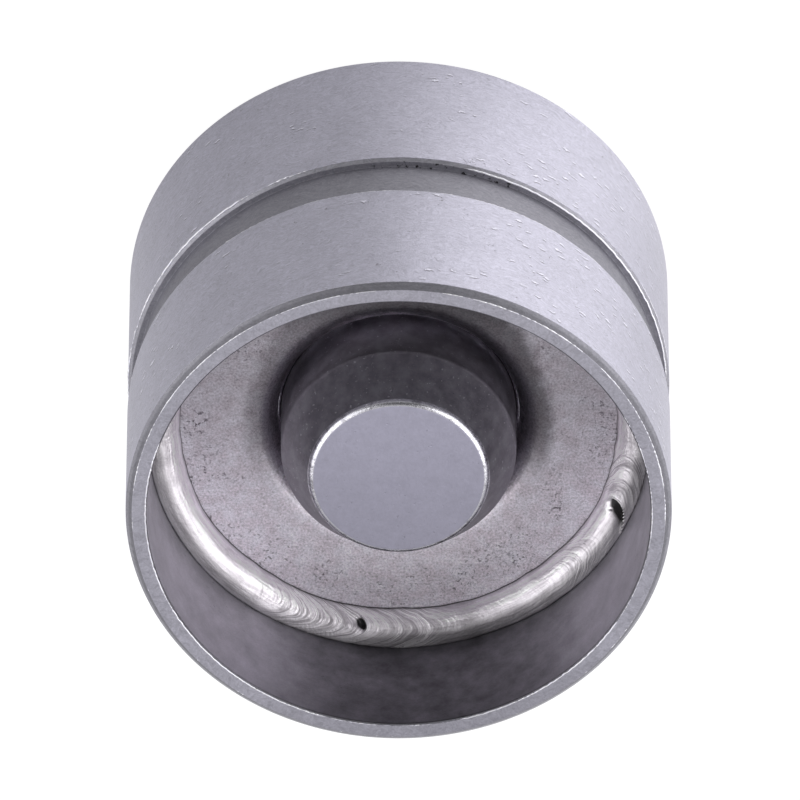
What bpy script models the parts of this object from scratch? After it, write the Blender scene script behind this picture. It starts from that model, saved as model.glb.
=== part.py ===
"""Hydraulic bucket tappet, standing on its cam face with the open end up.

The origin is the middle of the cam face, +Z runs along the tappet's axis towards the valve, and every
length is in metres. Nearly all the pieces are turned or drawn, so each one is an outline of (radius, height)
points that is spun round the Z axis. Heights are counted from the cam face.
"""

from math import cos, hypot, pi, radians, sin, sqrt

import bmesh
import bpy
from mathutils import Vector

# Clearances
RUNNING_GAP = 0.00005        # on the radius, between pieces that slide in each other
SEAT_GAP = 0.00012           # between pieces that rest on or are welded to each other

# Bucket
TAPPET_DIAMETER = 0.0330
TAPPET_HEIGHT = 0.0260
CROWN_THICKNESS = 0.0028
CROWN_CHAMFER = 0.0007
CROWN_FILLET = 0.0012        # inside, where the crown meets the skirt
UPPER_WALL = 0.0021          # skirt between the crown and the ledge that carries the sleeve
SKIRT_WALL = 0.00128         # skirt between the ledge and the rim
RIM_CHAMFER = 0.0004
RIM_INNER_BREAK = 0.00012

# Oil groove round the skirt, and the holes and recess that lead the oil inwards
GROOVE_HEIGHT = 0.01164      # its crown-side edge above the cam face
GROOVE_WIDTH = 0.00373
GROOVE_DEPTH = 0.00055
GROOVE_BEVEL = 0.00020       # bevel of the crown-side edge
GROOVE_LIP = 0.00008         # bevel of the rim-side edge
GROOVE_ROOT = 0.00025        # fillet at the foot of the crown-side flank
FEED_HOLE_DIAMETER = 0.0022
FEED_HOLE_AZIMUTH = radians(90)
RECESS_WIDTH = 0.0030
RECESS_DEPTH = 0.0006
RECESS_MARGIN = 0.0020       # how far the recess runs out past the plunger

# Guide sleeve, drawn from sheet
FLANGE_DEPTH = 0.00986       # its flat face below the rim
SHEET_THICKNESS = 0.0012
ROLL_RADIUS = 0.00165        # of the rounded side where the flange turns into the neck
BORE_LEAD = 0.00014          # chamfer at both ends of the bore

# Weld bead
BEAD_WIDTH = 0.00195         # along the flange
BEAD_HEIGHT = 0.00146        # up the skirt
BEAD_CROWNING = 0.00034      # how far it bulges out of its straight chord
BEAD_WAVE = 0.00007          # how far its toe wanders
BEAD_WAVES = 9
LAP_AZIMUTH = radians(161)   # where the end of the weld laps over its start
LAP_REACH = 0.00045          # how far the lap's tip runs out over the flange
LAP_SPREAD = radians(6)

# Inner housing
HOUSING_DIAMETER = 0.0143
HOUSING_WALL = 0.00195       # between the guided cylinder and the pressure chamber
END_FACE_DEPTH = 0.00408     # the flat end face below the rim
END_FACE_STEP = 0.0018       # its edge lies this far inside the guided cylinder
END_FILLET = 0.00026
SHOULDER_DEPTH = 0.00715     # where the cone below the end face meets the cylinder, below the rim
BOTTOM_THICKNESS = 0.0025
CHAMBER_FILLET = 0.0004
EDGE_CHAMFER = 0.0002        # lead-in chamfer of the inner housing and the plunger
STROKE = 0.0030              # travel of the inner housing towards the crown
STROKE_RESERVE = 0.0002      # left between it and the crown, and over the cage, at the end of the stroke

# Retaining ring
RING_WIRE = 0.0008
RING_BITE = 0.0004           # depth of its groove in the inner housing
RING_OPENING = radians(28)
RING_LAND = 0.0007           # what is left of the inner housing below the ring's groove

# Plunger
PLUNGER_WALL = 0.00195       # round the oil reservoir
SEAT_PLATE = 0.0016
SEAT_HOLE_DIAMETER = 0.0018
SEAT_CONTACT = 0.00035       # the ball's line of contact below the plunger's end

# Check valve
BALL_DIAMETER = 0.0030
BALL_LIFT = 0.00025
BALL_SIDE_ROOM = 0.00035
CAGE_SHEET = 0.00035
CAGE_FLANGE_ROOM = 0.0004    # between its flange and the chamber's wall
CAGE_TOP_HOLE_DIAMETER = 0.0008
CAGE_WINDOWS = 3
CAGE_WINDOW_WIDTH = 0.0016
CAGE_WINDOW_EDGE = 0.0004    # sheet left above and below a window
BALL_SPRING_WIRE = 0.0002
BALL_SPRING_DIAMETER = 0.0016
BALL_SPRING_TURNS = 3.5
BALL_SPRING_RESERVE = 0.00015  # left between its turns, in all, when the ball is at its full lift

# Return spring
RETURN_WIRE = 0.00075
RETURN_ROOM = 0.0007         # between the coil and the chamber's wall
RETURN_TURNS = 3.6
END_TURN = 0.75              # part of a turn that lies nearly flat at each end of a spring
END_PITCH = 1.12             # rise of a whole turn there, in wire thicknesses

# How finely the round shapes are cut
FACETS = 64
BEAD_FACETS = 90
SMALL_FACETS = 36
BALL_FACETS = 20
ARC_STEPS = 4
SMALL_ARC_STEPS = 3
ROLL_STEPS = 8
ROUND_END_STEPS = 6
HOLE_FACETS = 18
WIRE_SIDES = 8
FINE_WIRE_SIDES = 6
COIL_STEPS = 20              # sections in each turn of a coil
WELD_DISTANCE = 1e-8
SMOOTH_ANGLE = radians(30)

# Places that follow from the sizes above
TAPPET_RADIUS = TAPPET_DIAMETER / 2
SKIRT_BORE = TAPPET_RADIUS - SKIRT_WALL
UPPER_BORE = TAPPET_RADIUS - UPPER_WALL
FLANGE_FACE = TAPPET_HEIGHT - FLANGE_DEPTH
HOUSING_RADIUS = HOUSING_DIAMETER / 2
END_FACE = TAPPET_HEIGHT - END_FACE_DEPTH
CHAMBER_TOP = END_FACE - BOTTOM_THICKNESS
HOUSING_END = CROWN_THICKNESS + STROKE + STROKE_RESERVE
RING_HEIGHT = HOUSING_END + RING_LAND + RING_WIRE / 2 + SEAT_GAP
NECK_END = RING_HEIGHT + RING_WIRE / 2 + SEAT_GAP
SLEEVE_BORE = HOUSING_RADIUS + RUNNING_GAP
CHAMBER_RADIUS = HOUSING_RADIUS - HOUSING_WALL
PLUNGER_RADIUS = CHAMBER_RADIUS - RUNNING_GAP
RESERVOIR_RADIUS = PLUNGER_RADIUS - PLUNGER_WALL

BALL_RADIUS = BALL_DIAMETER / 2
SEAT_SLOPE = radians(45)
SEAT_CONTACT_RADIUS = BALL_RADIUS * cos(SEAT_SLOPE)
BALL_HEIGHT = BALL_RADIUS * sin(SEAT_SLOPE) - SEAT_CONTACT + RUNNING_GAP / sin(SEAT_SLOPE)
BALL_SPRING_RADIUS = BALL_SPRING_DIAMETER / 2
BALL_SPRING_REACH = BALL_RADIUS + BALL_SPRING_WIRE / 2 + RUNNING_GAP
BALL_SPRING_FOOT = BALL_HEIGHT + sqrt(BALL_SPRING_REACH ** 2 - BALL_SPRING_RADIUS ** 2)
BALL_SPRING_LENGTH = BALL_SPRING_TURNS * BALL_SPRING_WIRE + BALL_SPRING_RESERVE + BALL_LIFT
BALL_SPRING_HEAD = BALL_SPRING_FOOT + BALL_SPRING_LENGTH
CAGE_INSIDE = BALL_SPRING_HEAD + BALL_SPRING_WIRE / 2 + RUNNING_GAP
CAGE_TOP = CAGE_INSIDE + CAGE_SHEET
PLUNGER_FOOT = CROWN_THICKNESS + SEAT_GAP
PLUNGER_END = CHAMBER_TOP - CAGE_TOP - STROKE - STROKE_RESERVE


def clear_scene():
    """Takes away every object that a new file opens with."""
    for old in list(bpy.data.objects):
        bpy.data.objects.remove(old, do_unlink=True)


def steel(name, colour, roughness):
    """A bare metal finish, by its linear colour and its roughness."""
    finish = bpy.data.materials.new(name)
    finish.use_nodes = True
    shader = finish.node_tree.nodes["Principled BSDF"]
    shader.inputs["Base Color"].default_value = (*colour, 1.0)
    shader.inputs["Roughness"].default_value = roughness
    shader.inputs["Metallic"].default_value = 1.0
    return finish


def add_object(name, bm, finish, height=0.0):
    """Closes a bmesh into a named object whose origin is on the axis at the given height."""
    bmesh.ops.recalc_face_normals(bm, faces=bm.faces[:])
    mesh = bpy.data.meshes.new(name)
    bm.to_mesh(mesh)
    bm.free()
    if finish:
        mesh.materials.append(finish)
    mesh.shade_smooth()
    mesh.set_sharp_from_angle(angle=SMOOTH_ANGLE)
    piece = bpy.data.objects.new(name, mesh)
    piece.location = (0.0, 0.0, height)
    bpy.context.collection.objects.link(piece)
    return piece


def arc(centre, radius, start, end, steps=ARC_STEPS):
    """Points (r, z) on a circular arc, both ends included; angles in degrees from the +r direction."""
    turns = [radians(start + (end - start) * step / steps) for step in range(steps + 1)]
    return [(centre[0] + radius * cos(turn), centre[1] + radius * sin(turn)) for turn in turns]


def spun(outline, facets=FACETS):
    """Spins an outline once round the axis.

    An outline whose ends lie on the axis closes itself there, and any other is first joined end to end.
    """
    bm = bmesh.new()
    points = [bm.verts.new((radius, 0.0, height)) for radius, height in outline]
    edges = [bm.edges.new(pair) for pair in zip(points, points[1:])]
    if outline[0][0] > 0.0:
        edges.append(bm.edges.new((points[-1], points[0])))
    bmesh.ops.spin(
        bm, geom=points + edges, cent=(0.0, 0.0, 0.0), axis=(0.0, 0.0, 1.0), angle=2 * pi, steps=facets
    )
    bmesh.ops.remove_doubles(bm, verts=bm.verts[:], dist=WELD_DISTANCE)
    return bm


def wired(path, wire, sides=WIRE_SIDES):
    """Carries a round wire along a path that winds round the axis, and caps its two ends."""
    bm = bmesh.new()
    sections = []
    for index, middle in enumerate(path):
        ahead = path[min(index + 1, len(path) - 1)]
        behind = path[max(index - 1, 0)]
        along = (ahead - behind).normalized()
        outward = Vector((middle.x, middle.y, 0.0)).normalized()
        across = along.cross(outward).normalized()
        section = []
        for side in range(sides):
            turn = 2 * pi * side / sides
            spoke = outward * cos(turn) + across * sin(turn)
            section.append(bm.verts.new(middle + spoke * wire / 2))
        sections.append(section)
    for here, there in zip(sections, sections[1:]):
        for side in range(sides):
            following = (side + 1) % sides
            bm.faces.new((here[side], here[following], there[following], there[side]))
    bm.faces.new(sections[0])
    bm.faces.new(sections[-1])
    return bm


def coil(radius, wire, foot, head, turns):
    """Middle line of a compression spring: nearly flat end turns, and an even pitch between them."""
    flat_rise = END_TURN * END_PITCH * wire
    open_turns = turns - 2 * END_TURN
    open_rise = head - foot - 2 * flat_rise

    def height(turn):
        low = min(turn, END_TURN) / END_TURN
        middle = min(max(turn - END_TURN, 0.0), open_turns) / open_turns
        high = max(turn - END_TURN - open_turns, 0.0) / END_TURN
        return foot + flat_rise * (low + high) + open_rise * middle

    path = []
    steps = round(turns * COIL_STEPS)
    for step in range(steps + 1):
        turn = turns * step / steps
        angle = 2 * pi * turn
        path.append(Vector((radius * cos(angle), radius * sin(angle), height(turn))))
    return path


def cut(piece, cutter):
    """Subtracts a cutter from a piece, and keeps the cutter as a hidden guide."""
    cutter.hide_render = True
    cutter.display_type = "WIRE"
    boolean = piece.modifiers.new(cutter.name, "BOOLEAN")
    boolean.operation = "DIFFERENCE"
    boolean.solver = "EXACT"
    boolean.object = cutter


def groove_outline():
    """The oil groove's section, from its rim-side edge to its crown-side edge."""
    floor = TAPPET_RADIUS - GROOVE_DEPTH
    rim_side = GROOVE_HEIGHT + GROOVE_WIDTH
    flank = GROOVE_HEIGHT + GROOVE_BEVEL
    root = (floor + GROOVE_ROOT, flank + GROOVE_ROOT)
    return [
        (TAPPET_RADIUS, rim_side),
        (TAPPET_RADIUS - GROOVE_LIP, rim_side - GROOVE_LIP),
        (floor, rim_side - GROOVE_LIP),
        *arc(root, GROOVE_ROOT, 180, 270, SMALL_ARC_STEPS),
        (TAPPET_RADIUS - GROOVE_BEVEL, flank),
        (TAPPET_RADIUS, GROOVE_HEIGHT),
    ]


def bucket_housing(finish):
    """Crown and skirt in one turned piece, with the groove, the feed hole and the transfer recess."""
    ledge = FLANGE_FACE - SHEET_THICKNESS - SEAT_GAP
    fillet = (UPPER_BORE - CROWN_FILLET, CROWN_THICKNESS + CROWN_FILLET)
    outline = [
        (0.0, CROWN_THICKNESS),
        *arc(fillet, CROWN_FILLET, 270, 360),
        (UPPER_BORE, ledge),
        (SKIRT_BORE, ledge),
        (SKIRT_BORE, TAPPET_HEIGHT - RIM_INNER_BREAK),
        (SKIRT_BORE + RIM_INNER_BREAK, TAPPET_HEIGHT),
        (TAPPET_RADIUS - RIM_CHAMFER, TAPPET_HEIGHT),
        (TAPPET_RADIUS, TAPPET_HEIGHT - RIM_CHAMFER),
        *groove_outline(),
        (TAPPET_RADIUS, CROWN_CHAMFER),
        (TAPPET_RADIUS - CROWN_CHAMFER, 0.0),
        (0.0, 0.0),
    ]
    bucket = add_object("bucket_housing", spun(outline), finish)
    cut(bucket, feed_drill())
    cut(bucket, recess_cutter())
    return bucket


def feed_drill():
    """Drill for the hole from the middle of the oil groove into the bucket."""
    drill_depth = UPPER_WALL * 2
    bm = bmesh.new()
    bmesh.ops.create_cone(
        bm,
        cap_ends=True,
        segments=HOLE_FACETS,
        radius1=FEED_HOLE_DIAMETER / 2,
        radius2=FEED_HOLE_DIAMETER / 2,
        depth=drill_depth,
    )
    drill = add_object("feed_drill", bm, None)
    reach = TAPPET_RADIUS - UPPER_WALL / 2
    drill.location = (
        reach * cos(FEED_HOLE_AZIMUTH),
        reach * sin(FEED_HOLE_AZIMUTH),
        GROOVE_HEIGHT + GROOVE_WIDTH / 2,
    )
    drill.rotation_euler = (0.0, pi / 2, FEED_HOLE_AZIMUTH)
    return drill


def recess_cutter():
    """Round-ended slot across the crown's inside, which lets oil in under the plunger."""
    reach = PLUNGER_RADIUS + RECESS_MARGIN
    half_width = RECESS_WIDTH / 2
    straight = reach - half_width
    ends = arc((straight, 0.0), half_width, -90, 90, ROUND_END_STEPS)
    ends += arc((-straight, 0.0), half_width, 90, 270, ROUND_END_STEPS)
    bm = bmesh.new()
    floor = bm.faces.new([bm.verts.new((x, y, -RECESS_DEPTH)) for x, y in ends])
    raised = bmesh.ops.extrude_face_region(bm, geom=[floor])["geom"]
    lifted = [item for item in raised if isinstance(item, bmesh.types.BMVert)]
    bmesh.ops.translate(bm, verts=lifted, vec=(0.0, 0.0, 2 * RECESS_DEPTH))
    return add_object("recess_cutter", bm, None, CROWN_THICKNESS)


def guide_sleeve(finish):
    """Flat flange that rolls over into the neck; the neck's bore guides the inner housing."""
    mouth = SLEEVE_BORE + BORE_LEAD
    neck_outside = mouth + SHEET_THICKNESS
    roll = (mouth + ROLL_RADIUS, FLANGE_FACE - ROLL_RADIUS)
    flange_edge = SKIRT_BORE - SEAT_GAP
    outline = [
        (SLEEVE_BORE, NECK_END + BORE_LEAD),
        (SLEEVE_BORE, roll[1] - BORE_LEAD),
        *arc(roll, ROLL_RADIUS, 180, 90, ROLL_STEPS),
        (flange_edge, FLANGE_FACE),
        (flange_edge, FLANGE_FACE - SHEET_THICKNESS),
        *arc(roll, ROLL_RADIUS - SHEET_THICKNESS, 90, 180),
        (neck_outside, NECK_END),
        (SLEEVE_BORE + BORE_LEAD, NECK_END),
    ]
    return add_object("guide_sleeve", spun(outline), finish)


def bead_section(azimuth):
    """Section of the bead at one azimuth: a bulged face from its toe to the skirt, and two flat backs.

    The face follows its chord plus four times its crowning times t times one minus t. The toe wanders in a
    slow wave, and runs out into a pointed tip where the weld's end laps over its start.
    """
    around = (azimuth - LAP_AZIMUTH + pi) % (2 * pi) - pi
    tip = LAP_REACH * max(0.0, 1.0 - abs(around) / LAP_SPREAD)
    wander = BEAD_WAVE * sin(BEAD_WAVES * azimuth)
    root = (SKIRT_BORE - SEAT_GAP, FLANGE_FACE + SEAT_GAP)
    toe = (SKIRT_BORE - BEAD_WIDTH - wander - tip, root[1])
    top = (root[0], FLANGE_FACE + BEAD_HEIGHT + wander)
    chord = (top[0] - toe[0], top[1] - toe[1])
    length = hypot(*chord)
    section = [root]
    for step in range(ARC_STEPS + 2):
        t = step / (ARC_STEPS + 1)
        bulge = 4 * BEAD_CROWNING * t * (1 - t) / length
        section.append((toe[0] + chord[0] * t - chord[1] * bulge, toe[1] + chord[1] * t + chord[0] * bulge))
    return section


def weld_bead(finish):
    """The bead laid in the corner between the flange and the skirt, closed on itself."""
    bm = bmesh.new()
    sections = []
    for facet in range(BEAD_FACETS):
        azimuth = 2 * pi * facet / BEAD_FACETS
        section = bead_section(azimuth)
        sections.append([bm.verts.new((r * cos(azimuth), r * sin(azimuth), z)) for r, z in section])
    for facet, here in enumerate(sections):
        there = sections[(facet + 1) % BEAD_FACETS]
        for point in range(len(here)):
            following = (point + 1) % len(here)
            bm.faces.new((here[point], here[following], there[following], there[point]))
    return add_object("weld_bead", bm, finish)


def inner_housing(finish):
    """Stepped cup: end face, cone, guided cylinder with the ring's groove, and the pressure chamber."""
    end_radius = HOUSING_RADIUS - END_FACE_STEP
    chamber_corner = (CHAMBER_RADIUS - CHAMBER_FILLET, CHAMBER_TOP - CHAMBER_FILLET)
    groove_floor = HOUSING_RADIUS - RING_BITE
    half_groove = RING_WIRE / 2 + SEAT_GAP
    outline = [
        (0.0, CHAMBER_TOP),
        *arc(chamber_corner, CHAMBER_FILLET, 90, 0, SMALL_ARC_STEPS),
        (CHAMBER_RADIUS, HOUSING_END + EDGE_CHAMFER),
        (CHAMBER_RADIUS + EDGE_CHAMFER, HOUSING_END),
        (HOUSING_RADIUS - EDGE_CHAMFER, HOUSING_END),
        (HOUSING_RADIUS, HOUSING_END + EDGE_CHAMFER),
        (HOUSING_RADIUS, RING_HEIGHT - half_groove),
        (groove_floor, RING_HEIGHT - half_groove),
        (groove_floor, RING_HEIGHT + half_groove),
        (HOUSING_RADIUS, RING_HEIGHT + half_groove),
        (HOUSING_RADIUS, TAPPET_HEIGHT - SHOULDER_DEPTH),
        *arc((end_radius - END_FILLET, END_FACE - END_FILLET), END_FILLET, 0, 90, SMALL_ARC_STEPS),
        (0.0, END_FACE),
    ]
    return add_object("inner_housing", spun(outline), finish)


def retaining_ring(finish):
    """Open round-wire ring that sits in the inner housing's groove and stops against the neck."""
    middle_radius = HOUSING_RADIUS - RING_BITE + SEAT_GAP + RING_WIRE / 2
    sweep = 2 * pi - RING_OPENING
    steps = SMALL_FACETS + ARC_STEPS
    path = []
    for step in range(steps + 1):
        angle = RING_OPENING / 2 + sweep * step / steps
        path.append(Vector((middle_radius * cos(angle), middle_radius * sin(angle), RING_HEIGHT)))
    return add_object("retaining_ring", wired(path, RING_WIRE), finish)


def plunger(finish):
    """Hollow piston: oil reservoir below, and a plate with the ball's conical seat at its upper end."""
    hole = SEAT_HOLE_DIAMETER / 2
    mouth = SEAT_CONTACT_RADIUS + SEAT_CONTACT
    outline = [
        (RESERVOIR_RADIUS, PLUNGER_FOOT + EDGE_CHAMFER),
        (RESERVOIR_RADIUS, PLUNGER_END - SEAT_PLATE),
        (hole, PLUNGER_END - SEAT_PLATE),
        (hole, PLUNGER_END - mouth + hole),
        (mouth, PLUNGER_END),
        (PLUNGER_RADIUS - EDGE_CHAMFER, PLUNGER_END),
        (PLUNGER_RADIUS, PLUNGER_END - EDGE_CHAMFER),
        (PLUNGER_RADIUS, PLUNGER_FOOT + EDGE_CHAMFER),
        (PLUNGER_RADIUS - EDGE_CHAMFER, PLUNGER_FOOT),
        (RESERVOIR_RADIUS + EDGE_CHAMFER, PLUNGER_FOOT),
    ]
    return add_object("plunger", spun(outline), finish)


def check_ball(finish):
    """Ball of the check valve, on its seat, with its origin at its own middle."""
    outline = arc((0.0, 0.0), BALL_RADIUS, -90, 90, BALL_FACETS // 2)
    outline[0] = (0.0, -BALL_RADIUS)
    outline[-1] = (0.0, BALL_RADIUS)
    return add_object("check_ball", spun(outline, BALL_FACETS), finish, PLUNGER_END + BALL_HEIGHT)


def ball_cage(finish):
    """Pressed cap over the ball, with side windows for the oil and a flange under the return spring."""
    inside = BALL_RADIUS + BALL_SIDE_ROOM
    outside = inside + CAGE_SHEET
    flange = CHAMBER_RADIUS - CAGE_FLANGE_ROOM
    top_hole = CAGE_TOP_HOLE_DIAMETER / 2
    outline = [
        (flange, SEAT_GAP),
        (flange, SEAT_GAP + CAGE_SHEET),
        (outside, SEAT_GAP + CAGE_SHEET),
        (outside, CAGE_TOP - CAGE_SHEET),
        (outside - CAGE_SHEET, CAGE_TOP),
        (top_hole, CAGE_TOP),
        (top_hole, CAGE_INSIDE),
        (inside, CAGE_INSIDE),
        (inside, SEAT_GAP),
    ]
    cage = add_object("ball_cage", spun(outline, SMALL_FACETS), finish, PLUNGER_END)
    cut(cage, window_cutter(outside))
    return cage


def window_cutter(cap_radius):
    """One block for each window of the cage, from its axis out through its side."""
    low = SEAT_GAP + CAGE_SHEET + CAGE_WINDOW_EDGE
    high = CAGE_INSIDE - CAGE_WINDOW_EDGE
    near = BALL_RADIUS
    far = cap_radius + CAGE_SHEET
    half = CAGE_WINDOW_WIDTH / 2
    bm = bmesh.new()
    for window in range(CAGE_WINDOWS):
        angle = 2 * pi * window / CAGE_WINDOWS + pi / 2
        block = []
        for z in (low, high):
            for x, y in ((near, -half), (far, -half), (far, half), (near, half)):
                turned = (x * cos(angle) - y * sin(angle), x * sin(angle) + y * cos(angle), z)
                block.append(bm.verts.new(turned))
        bm.faces.new(block[:4])
        bm.faces.new(block[4:])
        for corner in range(4):
            following = (corner + 1) % 4
            bm.faces.new((block[corner], block[following], block[following + 4], block[corner + 4]))
    return add_object("window_cutter", bm, None, PLUNGER_END)


def ball_spring(finish):
    """Light spring between the top of the ball and the inside of the cage."""
    foot = PLUNGER_END + BALL_SPRING_FOOT
    head = PLUNGER_END + BALL_SPRING_HEAD
    path = coil(BALL_SPRING_RADIUS, BALL_SPRING_WIRE, foot, head, BALL_SPRING_TURNS)
    return add_object("ball_spring", wired(path, BALL_SPRING_WIRE, FINE_WIRE_SIDES), finish)


def return_spring(finish):
    """Spring that pushes the inner housing out of the plunger, so that no lash is left."""
    foot = PLUNGER_END + SEAT_GAP + CAGE_SHEET + SEAT_GAP + RETURN_WIRE / 2
    head = CHAMBER_TOP - SEAT_GAP - RETURN_WIRE / 2
    middle_radius = CHAMBER_RADIUS - RETURN_ROOM - RETURN_WIRE / 2
    path = coil(middle_radius, RETURN_WIRE, foot, head, RETURN_TURNS)
    return add_object("return_spring", wired(path, RETURN_WIRE), finish)


def build_tappet():
    """Makes every piece, each with the finish it shows."""
    clear_scene()
    bucket_housing(steel("ground_steel", (0.50, 0.49, 0.54), 0.36))
    guide_sleeve(steel("drawn_steel", (0.42, 0.39, 0.43), 0.50))
    weld_bead(steel("weld_metal", (0.62, 0.59, 0.63), 0.22))
    inner_housing(steel("hardened_steel", (0.36, 0.35, 0.40), 0.34))
    retaining_ring(steel("ring_wire", (0.30, 0.29, 0.30), 0.40))
    plunger(steel("lapped_steel", (0.56, 0.55, 0.58), 0.24))
    check_ball(steel("ball_steel", (0.66, 0.66, 0.68), 0.12))
    ball_cage(steel("pressed_steel", (0.46, 0.45, 0.46), 0.42))
    ball_spring(steel("fine_spring_wire", (0.40, 0.38, 0.36), 0.34))
    return_spring(steel("spring_wire", (0.34, 0.33, 0.33), 0.38))


build_tappet()
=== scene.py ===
# %% [markdown]
# # A hydraulic bucket tappet, seen from its open end
#
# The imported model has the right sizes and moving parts, but its pieces are coarse and plain. This lesson
# keeps its frame and gives every piece a finer surface and a steel finish: ground walls with small nicks, a
# drawn and mottled sleeve, a rippled weld bead and a satin end face. Lengths are in metres, +Z points to the
# open end, and the tappet stands on its cam face.

import bpy
import numpy as np
from mathutils import Matrix, Vector


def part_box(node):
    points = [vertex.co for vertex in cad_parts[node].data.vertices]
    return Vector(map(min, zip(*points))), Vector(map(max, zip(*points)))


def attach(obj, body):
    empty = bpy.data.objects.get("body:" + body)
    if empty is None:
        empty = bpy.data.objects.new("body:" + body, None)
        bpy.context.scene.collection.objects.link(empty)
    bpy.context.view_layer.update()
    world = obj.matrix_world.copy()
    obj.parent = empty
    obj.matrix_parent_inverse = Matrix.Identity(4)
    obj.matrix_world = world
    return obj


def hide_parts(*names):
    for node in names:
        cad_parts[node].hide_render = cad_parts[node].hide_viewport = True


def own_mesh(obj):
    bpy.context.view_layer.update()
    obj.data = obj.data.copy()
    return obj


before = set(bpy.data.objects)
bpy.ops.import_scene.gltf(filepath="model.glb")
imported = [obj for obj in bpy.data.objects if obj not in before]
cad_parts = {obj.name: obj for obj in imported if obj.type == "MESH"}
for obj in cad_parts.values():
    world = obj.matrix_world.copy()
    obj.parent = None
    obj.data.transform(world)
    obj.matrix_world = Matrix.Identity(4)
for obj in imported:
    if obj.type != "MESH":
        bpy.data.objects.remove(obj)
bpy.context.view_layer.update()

# %% [markdown]
# ## Sizes
#
# What the model can tell is read from its boxes, so the looks follow the solids if a size changes. The rest
# are details that no box shows: chamfers, the groove's section and the breaks on the edges. They are given in
# millimetres and turned into metres by MM.

# %% Sizes
MM = 0.001


def top_of(node):
    """Height of the highest point of a CAD node."""
    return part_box(node)[1].z


def foot_of(node):
    """Height of the lowest point of a CAD node."""
    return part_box(node)[0].z


def radius_of(node):
    """Largest radius of a round CAD node."""
    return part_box(node)[1].y


OUTER = radius_of("bucket_housing")
RIM = top_of("bucket_housing")
FLANGE = top_of("guide_sleeve")
NECK_FOOT = foot_of("guide_sleeve")
END_FACE = top_of("inner_housing")
HOUSING_FOOT = foot_of("inner_housing")
HOUSING_RADIUS = radius_of("inner_housing")
print("outer radius and rim", round(OUTER / MM, 3), round(RIM / MM, 3))
print("flange and end face", round(FLANGE / MM, 3), round(END_FACE / MM, 3))

SEAT_GAP = 0.12 * MM
RUNNING_GAP = 0.05 * MM
SKIRT_BORE = OUTER - 1.28 * MM
UPPER_BORE = OUTER - 2.10 * MM
CROWN_INSIDE = 2.80 * MM
CROWN_FILLET = 1.20 * MM
CROWN_CHAMFER = 0.70 * MM
GROOVE_EDGE = 11.64 * MM
GROOVE_WIDTH = 3.73 * MM
GROOVE_FLOOR = OUTER - 0.55 * MM
GROOVE_BEVEL = 0.20 * MM
GROOVE_ROUNDING = 0.06 * MM
RIM_CHAMFER = 0.40 * MM
RIM_BREAK = 0.12 * MM
SHEET = 1.20 * MM
ROLL = 1.65 * MM
MOUTH = HOUSING_RADIUS + 0.19 * MM

# %% [markdown]
# ## Outlines
#
# Turned pieces are drawn as half a section: a few corners, each with the small radius that a tool leaves on
# it. A corner without a radius never catches the light, and on bare steel those bright lines are most of what
# the eye reads. `filleted` rounds the corners, and `evened` adds points close to the ends of each straight
# stretch, which keeps smooth shading from smearing a fillet over a whole flat.


# %% Outline helpers
def filleted(corners, steps=4):
    """Rounds the corners (radius, height, fillet) of an outline; the two ends stay as they are.

    An arc of the fillet's radius touches both sides of its corner. Its centre lies on the corner's bisector,
    at the fillet over the sine of half the angle, and its ends at the fillet over the tangent of that half.
    """
    corners = np.array(corners, float)
    points = [corners[0, :2]]
    for before, corner, after in zip(corners[:, :2], corners[1:], corners[2:, :2]):
        back = (before - corner[:2]) / np.linalg.norm(before - corner[:2])
        ahead = (after - corner[:2]) / np.linalg.norm(after - corner[:2])
        half = np.arccos(np.clip(back @ ahead, -1.0, 1.0)) / 2
        bisector = (back + ahead) / np.linalg.norm(back + ahead)
        centre = corner[:2] + bisector * corner[2] / np.sin(half)
        first = corner[:2] + back * corner[2] / np.tan(half) - centre
        last = corner[:2] + ahead * corner[2] / np.tan(half) - centre
        start = np.arctan2(first[1], first[0])
        sweep = (np.arctan2(last[1], last[0]) - start + np.pi) % (2 * np.pi) - np.pi
        turns = start + sweep * np.linspace(0.0, 1.0, steps + 1)
        points.extend(centre + corner[2] * np.column_stack((np.cos(turns), np.sin(turns))))
    points.append(corners[-1, :2])
    return np.array(points)


def evened(outline, step=1.6 * MM, guard=0.05 * MM):
    """Adds points on long stretches: a guard's length inside both ends, and no more than a step apart."""
    points = [outline[0]]
    for here, there in zip(outline, outline[1:]):
        length = np.linalg.norm(there - here)
        if length > 3 * guard:
            count = int(np.ceil((length - 2 * guard) / step)) + 1
            shares = np.linspace(guard, length - guard, count) / length
            points.extend(here + (there - here) * shares[:, None])
        points.append(there)
    return np.array(points)


# %% [markdown]
# ## From a grid of points to a mesh
#
# Every surface here is a grid: rows run along the outline or the path, columns run round it and close on
# themselves. A row whose points all fall together is a pole and becomes one vertex with a fan of triangles,
# so no seam or hole is left. The faces come from whole arrays of indices, with the outside to the right of
# the outline's direction.


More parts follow.
